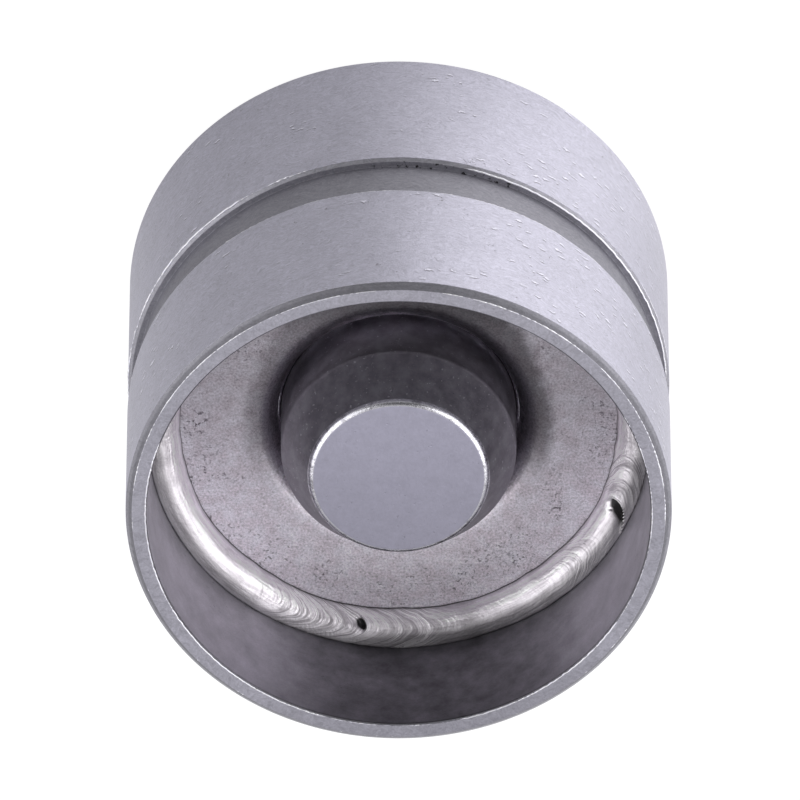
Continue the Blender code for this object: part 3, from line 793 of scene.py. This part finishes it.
def bead_surface(segments=2600, across=30):
    """The bead's grid, from its toe over its face to the skirt and back along its two flat sides.

    The face is the chord from toe to top plus, square to it, four times the crowning times t times one minus
    t, the ripples and the craters. Also returns the marks that the finish reads: the flow in millimetres, t,
    how strongly the bead is rippled there, and how hollow it is, which is below 0 on the lips.
    """
    azimuth = 2 * np.pi * np.arange(segments) / segments
    t = np.linspace(0.0, 1.0, across)[:, None]
    wander = TOE_WAVE * np.sin(TOE_WAVES * azimuth) + TOE_RAGGEDNESS * smooth_random(azimuth, 60, 3)
    toe = SKIRT_BORE - BEAD_WIDTH - wander
    top = FLANGE + BEAD_HEIGHT + wander
    root = SKIRT_BORE - BEAD_GAP
    foot = FLANGE + BEAD_GAP
    run, climb = root - toe, top - foot
    length = np.hypot(run, climb)

    bend = azimuth + 0.012 * np.sin(6.0 * t + 2.0 * smooth_random(azimuth, 25, 15))
    flow = azimuth * BEAD_ARC_RADIUS + RIPPLE_WANDER * smooth_random(bend, 90, 9) - RIPPLE_BOW * ahead(t)
    strong = 0.17 + 0.08 * smooth_random(azimuth, 14, 7)
    for degrees, spread, size in RIPPLE_PLACES:
        strong = strong + size * np.exp(-(around(azimuth, np.radians(degrees)) / np.radians(spread)) ** 2)
    ripples = RIPPLE_HEIGHT * strong * frozen_waves(flow) * np.sin(np.pi * t) ** 0.5
    hollows = [crater(flow, t, *row) for row in CRATERS]
    pits = np.max([pit for pit, _ in hollows], axis=0)
    lips = np.max([lip for _, lip in hollows], axis=0)
    lift = 4 * BEAD_CROWNING * t * (1 - t) + ripples + lips - pits

    radius = toe + run * t - climb / length * lift
    height = foot + climb * t + run / length * lift
    whole = np.ones_like(azimuth)
    radius = np.vstack((radius, root * whole, root * whole, (toe + root) / 2))
    height = np.vstack((height, foot + (top - foot) / 2, foot * whole, foot * whole))
    marks = {
        "flow": flow / MM,
        "across": t + 0 * flow,
        "rippled": strong + 0 * flow,
        "hollow": (pits - 2 * lips) / MM,
    }
    return round_axis(radius, azimuth, height), marks


def bead_mesh():
    """The bead as a mesh, which carries its marks as one value for each vertex, in the grid's order."""
    grid, marks = bead_surface()
    mesh = grid_mesh("laid_bead", grid, closed=True)
    for name, values in marks.items():
        stored = np.zeros(len(mesh.vertices), np.float32)
        stored[:values.size] = values.ravel()
        mesh.attributes.new(name, "FLOAT", "POINT").data.foreach_set("value", stored)
    return mesh


# Where the painted shade of the skirt side begins higher or lower: x, y and reach in millimetres, and a share
# of the way across, which is below 0 where the bead stays lighter.
SKIRT_SHADE_PLACES = [(5.4, 13.0, 5.4, -0.24), (-3.0, 13.8, 6.0, 0.06)]


def carried(place, name):
    """One of the marks that the bead's vertices carry."""
    return place.node("ShaderNodeAttribute", {"attribute_name": name}, None, "Fac")


def weld_metal():
    """Finish of the bead: bright skin streaked along the flow, painted shade towards the skirt and at the
    toe.
    """
    material, place = steel("weld_metal")
    names = ("flow", "across", "rippled", "hollow")
    flow, across, rippled, hollow = (carried(place, name) for name in names)
    straight = place.node("ShaderNodeCombineXYZ", None, {"X": flow, "Y": across * 1.2})
    run = warped(straight, 0.8, 0.7)
    crescents = grain(stretched(run, (2.4, 1.3, 1.0)), 1.0, 5.0, 0.66) - 0.5
    strokes = grain(stretched(run, (5.5, 0.8, 1.0)), 1.0, 2.0, 0.5, 0.3) - 0.5
    drawn_out = grain(stretched(warped(straight, 1.5, 0.08), (0.30, 8.0, 1.0)), 1.0, 4.0, 0.66) - 0.5
    fine = grain(place, 6.0, 3.0, 0.7) - 0.5
    rippled = rippled.rise(0.20, 1.20)
    streaks = 0.5 + crescents * (0.17 + 0.89 * rippled) + strokes * (0.06 + 1.04 * rippled)
    streaks = streaks + drawn_out * (0.66 - 0.40 * rippled)
    dim = rippled.blend((0.54, 0.503, 0.545, 1), (0.46, 0.428, 0.466, 1))
    bright = streaks.rise(0.30, 0.66).blend(dim, (0.98, 0.935, 0.99, 1))
    reach = across
    for x, y, spread, shift in SKIRT_SHADE_PLACES:
        reach = reach + shift * close_to(place, x, y, FLANGE / MM + 1.0, spread)
    # Painted shade towards the skirt, and a painted shadow line at the toe.
    tone = (1.0 - 0.66 * reach.rise(0.50, 0.86)) * (1.0 - 0.85 * across.rise(0.05, 0.015))
    # Darker near the toe, and a lighter band low on the face as a painted sheen.
    tone = tone * (1.0 - 0.38 * across.rise(0.14, 0.0)) * (1.0 + 0.28 * across.band(0.18, 0.40, 0.14))
    # The craters' pits are painted dark as shade.
    tone = tone * (1.0 - 0.95 * hollow.rise(0.08, 0.20)) * (1.0 + 0.35 * fine)
    # The craters' lips are painted near white as a highlight.
    bright = hollow.rise(-0.05, -0.12).blend(scaled(bright, tone), (0.97, 0.95, 0.98, 1))
    metal = 0.85 - 0.3 * rippled
    rough = 0.36 - 0.28 * (streaks - 0.5) + 0.20 * fine
    relief = streaks + 0.40 * fine
    return wired(material, Base_Color=bright, Metallic=metal, Roughness=rough, Normal=bumped(relief, 0.060))


dress(bead_mesh(), "bucket", weld_metal(), ["weld_bead"])

# %% [markdown]
# ## The inner housing
#
# The stepped cup that pushes on the valve stem. Its end face is ground to a satin, its sides are dark, and
# the small radius between them catches a bright crescent of light.


# %% Inner housing shape
END_FILLET = 0.42 * MM


def housing_outline():
    """Half section, from the chamber's top out and down the bore, round the foot, and up the outside."""
    end_radius = HOUSING_RADIUS - 1.80 * MM
    chamber = HOUSING_RADIUS - 1.95 * MM
    chamber_top = END_FACE - 2.50 * MM
    shoulder = RIM - 7.15 * MM
    break_edge = 0.20 * MM
    groove = 0.40 * MM
    ring_low = HOUSING_FOOT + 0.70 * MM
    ring_high = ring_low + 0.80 * MM + 2 * SEAT_GAP
    corners = [
        (0.0, chamber_top, 0.0),
        (chamber, chamber_top, 0.40 * MM),
        (chamber, HOUSING_FOOT + break_edge, 0.05 * MM),
        (chamber + break_edge, HOUSING_FOOT, 0.05 * MM),
        (HOUSING_RADIUS - break_edge, HOUSING_FOOT, 0.05 * MM),
        (HOUSING_RADIUS, HOUSING_FOOT + break_edge, 0.05 * MM),
        (HOUSING_RADIUS, ring_low, 0.04 * MM),
        (HOUSING_RADIUS - groove, ring_low, 0.06 * MM),
        (HOUSING_RADIUS - groove, ring_high, 0.06 * MM),
        (HOUSING_RADIUS, ring_high, 0.04 * MM),
        (HOUSING_RADIUS, shoulder, 0.80 * MM),
        (end_radius, END_FACE, END_FILLET),
        (0.0, END_FACE, 0.0),
    ]
    return evened(filleted(corners, 8))


def hardened_steel():
    """Finish of the inner housing: satin end face, a polished radius round it, dark mottled sides."""
    material, place = steel("hardened_steel")
    y, height = coordinate(place, "Y"), coordinate(place, "Z")
    end = END_FACE / MM
    face = height.rise(end - 0.012, end - 0.004)
    edge = height.rise(end - 0.34, end - 0.26) * (1.0 - face)
    mottle = grain(place, 1.1, 4.0, 0.6)
    fine = grain(place, 6.0, 3.0, 0.7)
    specks = grain(place, 3.4, 3.0, 0.7).rise(0.34, 0.29)
    side = mottle.rise(0.3, 0.7).blend((0.245, 0.232, 0.262, 1), (0.335, 0.325, 0.36, 1))
    glints = grain(moved(place, (5.0, 0.0, 0.0)), 4.5, 2.0, 0.6).rise(0.665, 0.71)
    side = glints.blend(side, (0.55, 0.54, 0.59, 1))
    bright = face.blend(side, (0.53, 0.515, 0.64, 1))
    tone = 0.96 + 0.26 * (fine - 0.5) + 0.14 * (mottle - 0.5) - 0.20 * specks
    # Painted shade: the end face darker towards its far side.
    far_face_shade = face * y.rise(-5.0, 6.0)
    # Painted light: the sides lighter below the shoulder, deep in the funnel.
    below_shoulder = height.rise(18.9, 18.0)
    tone = tone * (1.0 - 0.17 * far_face_shade + 0.28 * below_shoulder)
    worn = edge * (0.25 + 0.75 * grain(place, 1.6, 4.0, 0.7).rise(0.36, 0.50))
    marked = worn.blend(scaled(bright, tone), (0.74, 0.73, 0.79, 1))
    rough = 0.38 - 0.12 * edge + 0.12 * (fine - 0.5) + 0.10 * (mottle - 0.5)
    relief = fine + 0.3 * mottle - specks
    return wired(material, Base_Color=marked, Roughness=rough, Normal=bumped(relief, 0.012))


cup_mesh = spun("end_cup", housing_outline(), 384)
dress(cup_mesh, "element", hardened_steel(), ["inner_housing"])

# %% [markdown]
# ## The pieces inside
#
# Nothing of these shows while the tappet is whole, but they are there and they work, so they get real shapes
# and finishes too. Three are spun from outlines, and three are wire: a helix is a circle whose height climbs
# with its angle, nearly flat in the end turns so that the spring sits square.


# %% Inside finishes
def inside_steel(name, dark, light, rough, per_mm, depth_mm):
    """Finish of a hidden piece: two tones clouded together, and fine marks of a depth and a fineness."""
    material, place = steel(name)
    clouds = grain(place, per_mm, 3.0, 0.6)
    lines = grain(stretched(place, (0.4, 0.4, 10.0)), 2.0, 2.0, 0.6)
    colour = clouds.rise(0.3, 0.7).blend((*dark, 1), (*light, 1))
    roughness = rough + 0.10 * (clouds - 0.5) + 0.06 * (lines - 0.5)
    return wired(material, Base_Color=colour, Roughness=roughness, Normal=bumped(clouds + lines, depth_mm))


# %% Plunger, ball and cage
PLUNGER_FOOT = foot_of("plunger")
PLUNGER_TOP = top_of("plunger")
PLUNGER_RADIUS = radius_of("plunger")
BALL_RADIUS = radius_of("check_ball")
BALL_MIDDLE = (foot_of("check_ball") + top_of("check_ball")) / 2
CAGE_FOOT = foot_of("ball_cage")
CAGE_TOP = top_of("ball_cage")
CAGE_SHEET = 0.35 * MM


def plunger_outline():
    """Closed section: up the oil reservoir, in to the seat's hole, out over the cone and down the outside."""
    reservoir = PLUNGER_RADIUS - 1.95 * MM
    plate = PLUNGER_TOP - 1.60 * MM
    hole = 0.90 * MM
    mouth = BALL_RADIUS * np.cos(np.radians(45.0)) + 0.35 * MM
    break_edge = 0.20 * MM
    edge = 0.04 * MM
    corners = [
        (reservoir, PLUNGER_FOOT + 2.0 * MM, 0.0),
        (reservoir, plate, 0.30 * MM),
        (hole, plate, edge),
        (hole, PLUNGER_TOP - mouth + hole, edge),
        (mouth, PLUNGER_TOP, edge),
        (PLUNGER_RADIUS - break_edge, PLUNGER_TOP, edge),
        (PLUNGER_RADIUS, PLUNGER_TOP - break_edge, edge),
        (PLUNGER_RADIUS, PLUNGER_FOOT + break_edge, edge),
        (PLUNGER_RADIUS - break_edge, PLUNGER_FOOT, edge),
        (reservoir + break_edge, PLUNGER_FOOT, edge),
        (reservoir, PLUNGER_FOOT + break_edge, edge),
        (reservoir, PLUNGER_FOOT + 1.9 * MM, 0.0),
    ]
    return evened(filleted(corners))


def ball_outline(steps=96):
    """Half circle from the ball's lowest point to its highest."""
    turn = np.linspace(-np.pi / 2, np.pi / 2, steps + 1)
    outline = np.column_stack((BALL_RADIUS * np.cos(turn), BALL_MIDDLE + BALL_RADIUS * np.sin(turn)))
    outline[[0, -1], 0] = 0.0
    return outline


def cage_outline():
    """Closed section of the pressed cap, of one sheet thickness throughout."""
    inside = BALL_RADIUS + 0.35 * MM
    outside = inside + CAGE_SHEET
    flange = radius_of("ball_cage")
    top_hole = 0.40 * MM
    inner_fillet = 0.08 * MM
    edge = 0.04 * MM
    corners = [
        (inside, (CAGE_FOOT + CAGE_TOP) / 2, 0.0),
        (inside, CAGE_TOP - CAGE_SHEET, inner_fillet),
        (top_hole, CAGE_TOP - CAGE_SHEET, edge),
        (top_hole, CAGE_TOP, edge),
        (outside, CAGE_TOP, CAGE_SHEET),
        (outside, CAGE_FOOT + CAGE_SHEET, inner_fillet),
        (flange, CAGE_FOOT + CAGE_SHEET, edge),
        (flange, CAGE_FOOT, edge),
        (inside, CAGE_FOOT, inner_fillet),
        (inside, (CAGE_FOOT + CAGE_TOP) / 2 - 0.1 * MM, 0.0),
    ]
    return evened(filleted(corners, 6), 0.4 * MM)


def cage_windows(count=3):
    """Square prisms, spun in four steps, that stand radially through the cap's side."""
    width, depth, bridge = 1.60 * MM, 2.00 * MM, 0.40 * MM
    low = CAGE_FOOT + CAGE_SHEET + bridge
    high = CAGE_TOP - CAGE_SHEET - bridge
    reach = BALL_RADIUS + depth / 2
    unit = np.array([(0.0, -0.5), (np.sqrt(0.5), -0.5), (np.sqrt(0.5), 0.5), (0.0, 0.5)])
    windows = []
    for number in range(count):
        window = spun(f"window_{number + 1}", unit, 4)
        window.transform(Matrix.Rotation(np.pi / 4, 4, "Z"))
        window.transform(Matrix.Diagonal((depth, width, high - low, 1.0)))
        window.transform(Matrix.Translation((reach, 0.0, (low + high) / 2)))
        window.transform(Matrix.Rotation(2 * np.pi * number / count + np.pi / 2, 4, "Z"))
        windows.append(window)
    return windows


lapped = inside_steel("lapped_steel", (0.52, 0.51, 0.54), (0.60, 0.59, 0.62), 0.24, 1.0, 0.002)
plunger_mesh = spun("hollow_plunger", plunger_outline(), 256, closed=True)
dress(plunger_mesh, "bucket", lapped, ["plunger"])
polished = inside_steel("ball_steel", (0.64, 0.64, 0.66), (0.70, 0.70, 0.72), 0.10, 2.0, 0.0005)
dress(spun("valve_ball", ball_outline(), 192), "ball", polished, ["check_ball"])
pressed = inside_steel("pressed_steel", (0.40, 0.39, 0.40), (0.52, 0.51, 0.52), 0.40, 1.6, 0.003)
cage_mesh = cut_away(spun("valve_cage", cage_outline(), 192, closed=True), *cage_windows())
dress(cage_mesh, "bucket", pressed, ["ball_cage"])

# %% Springs and ring
END_TURN = 0.75
END_PITCH = 1.12


def coil(radius, wire, foot, head, turns, steps=64):
    """Helix (r cos a, r sin a, h), whose height climbs evenly except in nearly flat end turns."""
    turn = np.linspace(0.0, turns, int(turns * steps) + 1)
    flat_rise = END_TURN * END_PITCH * wire
    stops = [0.0, END_TURN, turns - END_TURN, turns]
    height = np.interp(turn, stops, [foot, foot + flat_rise, head - flat_rise, head])
    return round_axis(radius, 2 * np.pi * turn, height)


def spring_in_place_of(node, name, wire, turns):
    """A coil that fills the box of a CAD spring."""
    half = wire / 2
    path = coil(radius_of(node) - half, wire, foot_of(node) + half, top_of(node) - half, turns)
    return wire_mesh(name, path, wire)


RETURN_WIRE = 0.75 * MM
RETURN_TURNS = 3.6
BALL_WIRE = 0.20 * MM
BALL_TURNS = 3.5
spring_steel = inside_steel("spring_wire", (0.28, 0.27, 0.27), (0.40, 0.39, 0.39), 0.36, 1.5, 0.003)
return_mesh = spring_in_place_of("return_spring", "lash_spring", RETURN_WIRE, RETURN_TURNS)
return_spring = dress(return_mesh, "bucket", spring_steel, ["return_spring"])
fine_steel = inside_steel("fine_spring_wire", (0.34, 0.32, 0.30), (0.46, 0.44, 0.42), 0.32, 4.0, 0.001)
ball_spring_mesh = spring_in_place_of("ball_spring", "valve_spring", BALL_WIRE, BALL_TURNS)
ball_spring = dress(ball_spring_mesh, "bucket", fine_steel, ["ball_spring"])

RING_OPENING = 28.0
ring_thickness = top_of("retaining_ring") - foot_of("retaining_ring")
ring_radius = radius_of("retaining_ring") - ring_thickness / 2
ring_angle = np.radians(np.linspace(RING_OPENING / 2, 360.0 - RING_OPENING / 2, 241))
ring_path = round_axis(ring_radius, ring_angle, foot_of("retaining_ring") + ring_thickness / 2)
ring_steel = inside_steel("ring_wire", (0.26, 0.25, 0.26), (0.36, 0.35, 0.36), 0.38, 1.5, 0.003)
ring_mesh = wire_mesh("stop_ring", ring_path, ring_thickness)
dress(ring_mesh, "element", ring_steel, ["retaining_ring"])

# %% [markdown]
# ## Springs that shorten
#
# When the inner housing goes in, the return spring gets shorter from its head, and when the ball lifts, its
# little spring gets shorter from its foot. Here each spring only gets a mesh of its own; it is not flattened.


def shorten(piece):
    """Gives a spring a mesh of its own."""
    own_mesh(piece)


shorten(return_spring)
shorten(ball_spring)

# %% [markdown]
# ## Floor, light and camera
#
# The tappet stands on a plain white floor. The camera was fitted to the photograph's ellipses: it stands on
# the near side, 33 degrees off the axis, far away with a long lens, and it is turned upside down, because the
# part was photographed with its open end towards the lens.

# %% Floor
FLOOR_SIZE = 4.0
FLOOR_GAP = 0.02 * MM
bpy.ops.mesh.primitive_plane_add(size=FLOOR_SIZE, location=(0.0, 0.0, -FLOOR_GAP))
floor = bpy.context.object
floor.name = "floor"


def grey(level):
    """A colour whose three parts are the same."""
    return (level, level, level, 1.0)


def emptied(owner):
    """Takes all nodes out of a material or a world and returns the start from which new ones are added."""
    owner.use_nodes = True
    owner.node_tree.nodes.clear()
    return Signal(owner.node_tree)


def rays_that_see(start):
    """Two signals: 1 for camera rays, and 1 for those and for rays that come off metal or through glass."""
    path = start.node("ShaderNodeLightPath")
    camera, glossy, through = (path.also(f"Is {kind} Ray") for kind in ("Camera", "Glossy", "Transmission"))
    return camera, camera.math("MAXIMUM", camera.math("MAXIMUM", camera, glossy), through)


def floor_finish():
    """White to the camera, a pale card to the metal, and paint for other light.

    The card is lighter on the right and far away behind the tappet, and on the near side, which the wall
    mirrors, its two sides differ most. From below the floor is clear, which lets the cam face be seen.
    """
    material = bpy.data.materials.new("floor_paint")
    start = emptied(material)
    camera, seen = rays_that_see(start)
    place = place_on(start)
    x, y = coordinate(place, "X"), coordinate(place, "Y")
    near, right, far = y.rise(1.0, -14.0), x.rise(6.3, -15.0), y.rise(22.0, 50.0)
    card = 0.52 + 0.24 * right + near * (0.51 * right - 0.15) + 0.38 * far
    level = camera.blend(card, grey(0.94))
    paint = start.node("ShaderNodeBsdfDiffuse", None, {"Color": grey(0.8)})
    glow = start.node("ShaderNodeEmission", None, {"Color": level})
    shade = start.node("ShaderNodeBsdfDiffuse", None, {"Color": grey(0.16)})
    white = glow.node("ShaderNodeAddShader", None, {0: glow, 1: shade})
    surface = white.node("ShaderNodeMixShader", None, {0: seen, 1: paint, 2: white})
    clear = start.node("ShaderNodeBsdfTransparent")
    from_below = start.node("ShaderNodeNewGeometry", output="Backfacing")
    surface = surface.node("ShaderNodeMixShader", None, {0: from_below, 1: surface, 2: clear})
    surface.node("ShaderNodeOutputMaterial", None, {"Surface": surface})
    material.cycles.emission_sampling = "NONE"
    return material


floor.data.materials.append(floor_finish())

# %% World
def studio_world():
    """White to the camera; to the metal a pale wall all round, and a ceiling lighter on the far side."""
    world = bpy.data.worlds.new("studio")
    start = emptied(world)
    camera, seen = rays_that_see(start)
    direction = start.node("ShaderNodeTexCoord", output="Generated")
    wall = coordinate(direction, "Z").rise(0.72, 0.30)
    ceiling = 0.06 + 0.53 * coordinate(direction, "Y").rise(-0.28, 0.12)
    level = seen.blend(grey(0.45), wall.blend(ceiling, grey(0.6)))
    level = camera.blend(level, grey(1.0))
    glow = level.node("ShaderNodeBackground", None, {"Color": level})
    glow.node("ShaderNodeOutputWorld", None, {"Surface": glow})
    return world


bpy.context.scene.world = studio_world()
bpy.context.scene.world.cycles.sampling_method = "NONE"


# %% Lamps
LAMP_WIDTH, LAMP_HEIGHT = 1.10, 0.86


def softbox(name, place, level):
    """Rectangular lamp that faces the tappet, as bright as a surface of that level."""
    lamp = bpy.data.lights.new(name, "AREA")
    lamp.shape = "RECTANGLE"
    lamp.size = LAMP_WIDTH
    lamp.size_y = LAMP_HEIGHT
    lamp.energy = level * np.pi * LAMP_WIDTH * LAMP_HEIGHT
    holder = in_scene(name, lamp)
    holder.location = place
    holder.rotation_euler = (-Vector(place)).to_track_quat("-Z", "Y").to_euler()
    holder.visible_camera = False


softbox("softbox_right", (-0.68, -0.04, 0.73), 1.8)
softbox("softbox_left", (0.68, -0.04, 0.73), 1.4)

# %% Camera
RIM_PIXEL = (398.683, 515.068)
FRAME_SIZE = 800
TILT = np.radians(33.211)
DISTANCE = 1.2595
FOCAL_PIXELS = 20859.0
SENSOR = 36.0

camera_data = bpy.data.cameras.new("camera")
camera = in_scene("camera", camera_data)
bpy.context.scene.camera = camera
camera_data.sensor_width = SENSOR
camera_data.lens = FOCAL_PIXELS / FRAME_SIZE * SENSOR
camera_data.clip_start = 0.1
camera_data.clip_end = 20.0
rim_centre = Vector((0.0, 0.0, RIM))
sight = Vector((0.0, np.sin(TILT), -np.cos(TILT)))
picture_up = Vector((0.0, -np.cos(TILT), -np.sin(TILT)))
picture_right = Vector((-1.0, 0.0, 0.0))
camera.location = rim_centre - sight * DISTANCE
aim = sight * FOCAL_PIXELS
aim += picture_right * (FRAME_SIZE / 2 - RIM_PIXEL[0])
aim += picture_up * (RIM_PIXEL[1] - FRAME_SIZE / 2)
aim.normalize()
side = aim.cross(picture_up).normalized()
upright = side.cross(aim)
camera.rotation_euler = Matrix((side, upright, -aim)).transposed().to_euler()

bpy.context.scene.view_settings.view_transform = "Standard"
